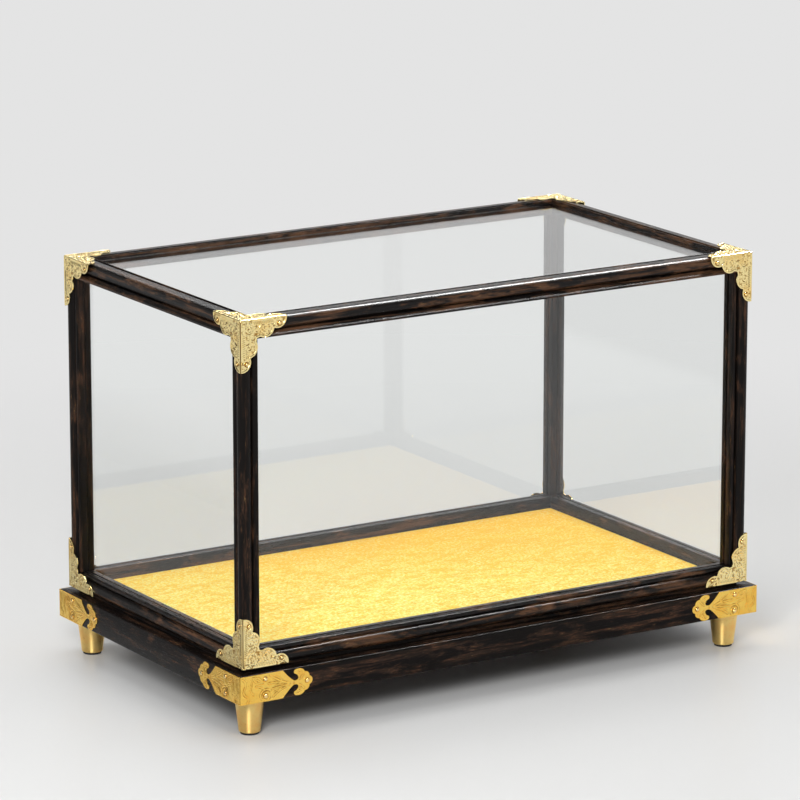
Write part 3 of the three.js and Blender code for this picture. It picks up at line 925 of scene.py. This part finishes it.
corner = {
    "shift": 0.8,
    "leg": 33,
    "endCentre": (27.35, 1.4),
    "endRadius": 6.45,
    "endSweep": 125.74,
    "lobeCentre": (18.3, 6.2),
    "lobeSweep": 112.13,
    "throat": 12.4,
    "rose": (6.6, 6.6),
    "thickness": 0.7,
    "fold": 1.05,
    "seam": (0.85, 0.45),    # its width and depth
    "grid": 0.27,
    "depth": 0.45,
    "rounding": 0.16,
    "pearl": 1.5,
    "foldBand": (0.9, 1.3),
    "border": (0.95, 1.2),
    "furrow": (1.05, 1.45),
    "nail": (28.6, 4.9),
    "nailSeat": (1.55, 1.85),
    "nailRadius": 1.2,
    "nailRise": 0.7,
    "lift": 2.8,
}

ticks = {
    "count": 12,
    "first": 9.8,
    "pitch": 1.2,
    "slant": 0.9,
    "reach": (1.9, 3.7),
    "width": 0.34,
    "stripEnd": (3.9, 4.3),
    "fadeIn": (8.6, 9.2),
    "fadeOut": (24.4, 25.0),
    "stripLevel": 0.8,
    "cut": 0.95,
}


# One face of a corner in outer measures, its folds on the axes
def cornerTemplate():
    reach = math.sqrt(corner["endRadius"] ** 2 - corner["endCentre"][1] ** 2)
    bm = closeOutline(mirrorOutline(drawOutline((0, 0), [
        (corner["endCentre"][0] + reach, 0),
        (corner["endCentre"], corner["endSweep"], 22),
        (corner["lobeCentre"], corner["lobeSweep"], 20),
        (corner["throat"], corner["throat"]),
    ])))
    edge = edgeOf(bm)
    cutToGrid(bm, corner["grid"], (0, 0), (corner["leg"] + corner["shift"],) * 2)
    return bm, edge


def swapped(chain):
    return [(y, x) for x, y in chain]


# Scrolls, leaves and a rose, as a height of 1 on their middle lines
def cornerPattern(places):
    nail, lobe, rose = corner["nail"], corner["lobeCentre"], corner["rose"]
    chains = [
        (spiral((18.0, 6.5), 3.7, 1.8, 250, -1), 0.5),
        (spiral((12.0, 6.9), 2.2, 1.3, 60, 1), 0.42),
        (spiral((23.6, 4.0), 1.5, 1.1, 120, -1), 0.36),
        (bend((4.2, 3.0), (9.6, 2.6), (14.6, 4.9)), 0.42),
        (bend((14.2, 9.6), (12.8, 6.6), (14.8, 4.8)), 0.36),
        (bend((21.9, 7.6), (22.6, 5.6), (22.0, 3.4)), 0.36),
        (bend((10.1, 10.1), (9.4, 8.2), (9.9, 5.6)), 0.36),
    ]
    for i in range(9):    # leaves round the nail
        angle = math.radians(-75 + i * 37)
        leaf = (around(nail, 2.0, angle), around(nail, 2.7, angle + 0.25), around(nail, 3.5, angle + 0.2))
        chains.append((bend(*leaf, 4), 0.4))
    for turn in range(8, 144, 17):    # crescents inside the round of the lobe
        middle = around(lobe, 5.0, math.radians(turn))
        chains.append((spiral(middle, 0.62, 0.55, turn - 60, 1, 0.7), 0.27))
    chains += [(swapped(chain), width) for chain, width in chains]
    chains.append((spiral(rose, 3.1, 1.7, 225), 0.48))
    for turn in range(20, 380, 45):    # rays round the rose
        angle = math.radians(turn)
        chains.append(([around(rose, 3.7, angle), around(rose, 4.5, angle + 0.2)], 0.42))
    return np.max([ridge(places, chain, width) for chain, width in chains], axis=0)


# Slanting ticks cut in a smooth strip along the straight edges
def cutTicks(places, level):
    near, far = places.min(axis=1), places.max(axis=1)
    strip = (1 - smoothly(near, *ticks["stripEnd"])) * smoothly(far, *ticks["fadeIn"])
    strip = strip * (1 - smoothly(far, *ticks["fadeOut"]))
    cut = np.zeros(len(places))
    low, high = ticks["reach"]
    for i in range(ticks["count"]):
        along = ticks["first"] + i * ticks["pitch"]
        tick = [(along, low), (along + ticks["slant"], high)]
        for chain in (tick, swapped(tick)):
            cut = np.maximum(cut, ridge(places, chain, ticks["width"]))
    return (level * (1 - strip) + ticks["stripLevel"] * strip) * (1 - ticks["cut"] * cut)


def stampCorner(bm, edge, folded):
    places = np.array([vert.co[:2] for vert in bm.verts])
    rim = rimDistance(places, edge, folded)
    ground = pearlsAt(places, corner["pearl"], 11) * 0.85 + grainAt(places, 1.7, 7.7) * 0.15
    crests = cornerPattern(places) * (0.86 + 0.2 * grainAt(places, 1.3, 1.3))
    level = np.maximum(np.clip(0.05 + ground, 0, 0.85), np.clip(crests, 0, 1))
    level = cutTicks(places, level)
    fromFold = places[:, folded].min(axis=1)
    level = np.maximum(level, 1 - smoothly(fromFold, *corner["foldBand"]))
    level = np.maximum(level * smoothly(rim, *corner["furrow"]), 1 - smoothly(rim, *corner["border"]))
    # Each nail sits in a sunk seat whose relief goes below 0, so the brass paints shade round the nail
    for centre in (corner["nail"], corner["nail"][::-1]):
        away = np.linalg.norm(places - np.array(centre), axis=1)
        seat = 1 - smoothly(away, *corner["nailSeat"])
        level = level * (1 - seat) - 0.3 * seat
    pressRelief(bm, level, rim, corner)


# Upright faces folded round the corner of a block, whose outer corner is at the origin; at a top
# corner they hang from a flat one. The plate gets its flat back first, and then its relief
def foldFaces(template, sizes, atTop=False):
    radius, (seamWidth, seamDepth) = sizes["fold"], sizes["seam"]
    faces = [lambda u, v: (u, 0, v), lambda u, v: (0, u, v)]
    if atTop:
        faces.insert(0, lambda u, v: (u, v, 0))
    whole = bmesh.new()
    relief = whole.verts.layers.float.new("relief")
    lift = whole.verts.layers.float_vector.new("lift")
    source = template.verts.layers.float["relief"]
    for face in faces:
        made = {}
        for vert in template.verts:
            place = Vector(face(vert.co.x, vert.co.y))
            eased = Vector([max(value, radius) for value in place])
            if not atTop:
                eased.z = place.z
            outward = (place - eased).normalized()
            fromSeam = max(place.x, place.y)    # only the upright fold has a seam
            seam = max(0, 1 - (fromSeam / seamWidth) ** 2) if seamWidth and place.z > radius else 0
            new = whole.verts.new(eased + outward * radius)
            # The seam's furrow takes the relief below 0, so the brass paints shade in it
            new[relief] = vert[source] * (1 - seam) - seam ** 2
            new[lift] = outward * (vert.co.z - seamDepth * seam)
            made[vert.index] = new
        for part in template.faces:
            whole.faces.new([made[vert.index] for vert in part.verts])
    bmesh.ops.remove_doubles(whole, verts=whole.verts[:], dist=0.02)
    bmesh.ops.recalc_face_normals(whole, faces=whole.faces[:])
    outer = Vector((-1, -1, -1 if atTop else 0))
    if sum(part.normal.dot(outer) * part.calc_area() for part in whole.faces) < 0:
        bmesh.ops.reverse_faces(whole, faces=whole.faces[:])
    outside = whole.verts[:]
    bmesh.ops.solidify(whole, geom=whole.faces[:], thickness=sizes["thickness"])
    for vert in outside:
        vert.co += Vector(vert[lift])
    whole.verts.layers.float_vector.remove(whole.verts.layers.float_vector["lift"])
    if atTop:
        bmesh.ops.scale(whole, vec=(1, 1, -1), verts=whole.verts[:])
        bmesh.ops.reverse_faces(whole, faces=whole.faces[:])
    return whole


def facesOf(verts):
    return list({face for vert in verts for face in vert.link_faces})


# Domed heads of nails on both upright faces, each with its distance along a face and its height
def addNails(bm, spots, sizes):
    radius, sunk, skirtShare = sizes["nailRadius"], 0.02, 0.8
    layer = bm.verts.layers.float["relief"]
    heads = [((along, sunk, level), (0, -1, 0)) for along, level in spots]
    heads += [((sunk, along, level), (-1, 0, 0)) for along, level in spots]
    for place, normal in heads:
        known = set(bm.verts)
        bmesh.ops.create_uvsphere(bm, u_segments=28, v_segments=16, radius=radius)
        below = [face for face in facesOf(newVerts(bm, known)) if face.calc_center_median().z < 0]
        bmesh.ops.delete(bm, geom=below, context="FACES")
        fresh = set(newVerts(bm, known))
        rims = [edge for edge in bm.edges if edge.is_boundary and edge.verts[0] in fresh]
        skirt = bmesh.ops.extrude_edge_only(bm, edges=rims)["geom"]
        low = [part for part in skirt if isinstance(part, bmesh.types.BMVert)]
        bmesh.ops.translate(bm, vec=(0, 0, -radius * skirtShare), verts=low)
        rims = [part for part in skirt if isinstance(part, bmesh.types.BMEdge) and part.is_boundary]
        bmesh.ops.edgeloop_fill(bm, edges=rims)
        fresh = newVerts(bm, known)
        bmesh.ops.scale(bm, vec=(1, 1, sizes["nailRise"] / radius), verts=fresh)
        turn = Vector((0, 0, 1)).rotation_difference(Vector(normal)).to_matrix().to_4x4()
        bmesh.ops.transform(bm, matrix=Matrix.Translation(place) @ turn, verts=fresh)
        faces = facesOf(fresh)
        bmesh.ops.recalc_face_normals(bm, faces=faces)
        for vert in fresh:
            vert[layer] = 1.0
        for face in faces:
            face.material_index = 1


def makeFitting(template, atTop):
    bm = foldFaces(template, corner, atTop)
    (far, near), shift = corner["nail"], corner["shift"]
    spots = [(far, -near), (near, -far)] if atTop else [(far, near - shift), (near, far - shift)]
    addNails(bm, spots, corner)
    bmesh.ops.translate(bm, vec=(-shift, -shift, shift if atTop else 0), verts=bm.verts[:])
    return bm


topTemplate, topEdge = cornerTemplate()
bottomTemplate, cutLevel = topTemplate.copy(), corner["shift"]
bmesh.ops.bisect_plane(
    bottomTemplate, geom=allOf(bottomTemplate), dist=1e-4, plane_co=(0, cutLevel, 0), plane_no=(0, 1, 0),
    clear_inner=True,
)
bottomEdge = [(0, cutLevel)] + [(x, max(y, cutLevel)) for x, y in topEdge if (x, y) != (0, 0)]
stampCorner(topTemplate, topEdge, [0, 1])
stampCorner(bottomTemplate, bottomEdge, [0])
bmesh.ops.translate(bottomTemplate, vec=(0, -cutLevel, 0), verts=bottomTemplate.verts[:])
topFitting = meshFrom(makeFitting(topTemplate, True), "topFitting", 50)
bottomFitting = meshFrom(makeFitting(bottomTemplate, False), "bottomFitting", 50)
for name, mesh, level in (
    ("top_fitting", topFitting, coverSpan[1][2]),
    ("bottom_fitting", bottomFitting, baseSpan[1][2] + corner["lift"]),
):
    addAtCorners(name, mesh, [reliefBrass, nailBrass], "cover", coverPlan, level)
print("corner fittings are made")


# Straps round the corners of the base

strap = {
    "shift": 0.6,
    "leg": 52.6,
    "half": baseRail["thickness"] / 2 - 0.15,
    "thickness": 0.5,
    "fold": 1.1,
    "seam": (0, 0),
    "grid": 0.3,
    "depth": 0.34,
    "rounding": 0.14,
    "pearl": 1.1,
    "border": (0.5, 0.9),
    "nailSeat": (1.45, 2.0),
    "nailRadius": 1.4,
    "nailRise": 0.8,
    "nails": ((0.345, 0.61), (0.345, -0.61), (0.925, 0)),
    "upper": (
        ((0.585, 1), None),
        ((0.74, 0.16), (0.69, 0.3)),
        ((0.8, 0.38), (0.812, 0.12)),
        ((0.752, 0.62), (0.79, 0.56)),
        ((0.76, 0.92), (0.722, 0.78)),
        ((0.886, 0.76), (0.838, 1.06)),
        ((0.888, 0.69), None),
        ((0.958, 0.38), (0.946, 0.68)),
        ((0.956, 0.32), None),
        ((1, 0), (1, 0.24)),
    ),
}


def strapPlace(share):
    return (share[0] * strap["leg"] + strap["shift"], share[1] * strap["half"])


def strapTemplate():
    last = (0, strap["half"])
    upper = [last]
    for end, pull in strap["upper"]:
        end = strapPlace(end)
        upper += bend(last, strapPlace(pull), end, 9)[1:] if pull else [end]
        last = end
    bm = drawOutline(upper[0], upper[1:])
    bmesh.ops.mirror(bm, geom=bm.verts[:] + bm.edges[:], merge_dist=0.001, axis="Y")
    closeOutline(bm)
    edge, half = edgeOf(bm), strap["half"]
    cutToGrid(bm, strap["grid"], (0, -half), (strap["leg"] + strap["shift"], half))
    return bm, edge


# Chased leaves and curls: raised lines, each with a furrow on either side
def strapPattern(places):
    raised, cut = np.zeros(len(places)), np.zeros(len(places))
    chains = [
        (spiral((18.9, -5.4), 4.6, 1.3, 40, 1, 0.45), 0.34),
        (bend((1.8, 7.6), (5.6, 5.2), (3.4, 1.2)), 0.3),
        (bend((3.4, 1.2), (1.6, -2.2), (5.2, -4.2)), 0.3),
        (bend((5.2, -4.2), (7.6, -6.2), (5.4, -8.2)), 0.28),
        (bend((4.6, 8.2), (9.4, 6.0), (8.2, 1.6)), 0.28),
        (bend((8.2, 1.6), (7.2, -1.0), (9.8, -3.4)), 0.28),
        (bend((9.6, 7.6), (14.4, 7.9), (16.8, 3.4)), 0.32),
        (bend((9.6, 7.6), (10.6, 3.6), (16.8, 3.4)), 0.3),
        (bend((10.8, 6.9), (13.0, 5.6), (15.8, 4.0)), 0.22),
        (bend((12.0, 1.8), (16.0, 0.4), (17.6, -0.9)), 0.28),
        (bend((22.0, 8.0), (25.6, 4.2), (33.4, 1.4)), 0.3),
        (bend((20.8, 2.4), (27.0, 3.0), (36.4, 0.3)), 0.32),
        (bend((23.4, -1.6), (28.6, -0.6), (36.0, -0.5)), 0.3),
        (bend((24.4, -6.6), (28.2, -3.2), (33.8, -1.6)), 0.3),
        (bend((25.2, 6.8), (28.6, 5.6), (30.8, 3.4)), 0.24),
        (bend((26.0, 0.6), (28.2, 1.5), (30.0, 1.2)), 0.24),
        (bend((25.4, -3.6), (27.4, -3.0), (29.6, -2.4)), 0.24),
    ]
    flower = [
        (bend((39.6, 0.9), (43.2, 3.4), (42.6, 6.6)), 0.28),
        (spiral((44.0, 4.9), 1.5, 1.0, 200, -1, 0.35), 0.26),
        (bend((43.6, 1.8), (45.4, 2.6), (46.8, 4.6)), 0.26),
    ]
    chains += flower + [([(x, -y) for x, y in chain], width) for chain, width in flower]
    for chain, width in chains:
        away = distanceTo(places, chain)
        raised = np.maximum(raised, np.clip(1 - (away / (width * 1.6)) ** 2, 0, 1))
        cut = np.maximum(cut, np.clip(1 - np.abs(away - width * 2.3) / (width * 1.2), 0, 1))
    return raised, cut


def stampStrap(bm, edge):
    places = np.array([vert.co[:2] for vert in bm.verts])
    rim = rimDistance(places, edge, [0])
    raised, cut = strapPattern(places)
    swell = grainAt(places, 2.6, 5.5) * 0.2 + pearlsAt(places, strap["pearl"], 5) * 0.16
    level = np.clip(0.52 + swell - 0.55 * cut, 0, 1)
    level = np.maximum(level, raised)
    level = np.maximum(level, 0.8 * (1 - smoothly(rim, *strap["border"])))
    # Sunk seats round the nails go below 0, so the brass paints shade round them
    for share in strap["nails"]:
        away = np.linalg.norm(places - np.array(strapPlace(share)), axis=1)
        level = np.minimum(level, -0.5 + 1.6 * smoothly(away, *strap["nailSeat"]))
    pressRelief(bm, level, rim, strap)


def makeStrap(template):
    bm = foldFaces(template, strap)
    addNails(bm, [strapPlace(share) for share in strap["nails"]], strap)
    bmesh.ops.translate(bm, vec=(-strap["shift"], -strap["shift"], 0), verts=bm.verts[:])
    return bm


strapFace, strapEdge = strapTemplate()
stampStrap(strapFace, strapEdge)
addAtCorners(
    "strap", meshFrom(makeStrap(strapFace), "strap", 50), [strapBrass, nailBrass], "base",
    basePlan, (baseSpan[0][2] + baseSpan[1][2]) / 2,
)
print("straps are made")


# Velvet stretched over its board

cloth = {
    "thickness": 0.8,
    "corner": 2.9,
    "edge": 1.3,
    "step": 2.2,
    "swells": ((0.1, 34, 9, 0), (0.07, 9, 3, 4)),    # height, length, depth and seed of each
    "swellLimit": 0.08,
}


def roundEdges(bm, edges, offset, segments):
    bmesh.ops.bevel(
        bm, geom=edges, offset=offset, affect="EDGES", segments=segments, profile=0.5, material=-1,
    )


def makeCloth():
    low, high = (Vector(place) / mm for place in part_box("velvet_cloth"))
    bm = bmesh.new()
    bmesh.ops.create_cube(bm, size=1)
    bmesh.ops.scale(bm, vec=high - low, verts=bm.verts[:])
    bmesh.ops.translate(bm, vec=(low + high) / 2, verts=bm.verts[:])
    under = [face for face in bm.faces if face.normal.z < -0.5]
    bmesh.ops.delete(bm, geom=under, context="FACES_ONLY")
    upright = [edge for edge in bm.edges if abs((edge.verts[0].co - edge.verts[1].co).z) > 1]
    roundEdges(bm, upright, cloth["corner"], 6)
    top = [edge for edge in bm.edges if all(abs(vert.co.z - high.z) < 0.01 for vert in edge.verts)]
    roundEdges(bm, top, cloth["edge"], 4)
    cutToGrid(bm, cloth["step"], low[:2], high[:2])
    for vert in bm.verts:
        x, y, z = vert.co
        if z > high.z - 0.05:
            rise = sum(
                tall * noise.noise(Vector((x / long, y / deep, seed)))
                for tall, long, deep, seed in cloth["swells"]
            )
            vert.co.z += min(rise, cloth["swellLimit"])
    bmesh.ops.recalc_face_normals(bm, faces=bm.faces[:])
    if max(bm.faces, key=lambda face: face.calc_area()).normal.z < 0:
        bmesh.ops.reverse_faces(bm, faces=bm.faces[:])
    bmesh.ops.solidify(bm, geom=bm.faces[:], thickness=cloth["thickness"])
    return bm


velvetPiece = addPiece(
    "velvet_cloth_shape", meshFrom(makeCloth(), "velvetCloth", 60), [velvetMaterial], "base",
    ["velvet_cloth"],
)
print("velvet is made")


# Finishes of the carried-over parts

def finishNodes(names, material):
    for name in names:
        for slot in nodes[name].material_slots:
            slot.material = material


finishNodes([f"{side}_pane" for side in ("front", "right", "back", "left", "top")], glassMaterial)
finishNodes(["base_panel"], panelWood)
finishNodes(["velvet_board"], boardWood)
finishNodes([f"{where[0]}_foot_stud" for where in corners], steelMaterial)

print("case is done")
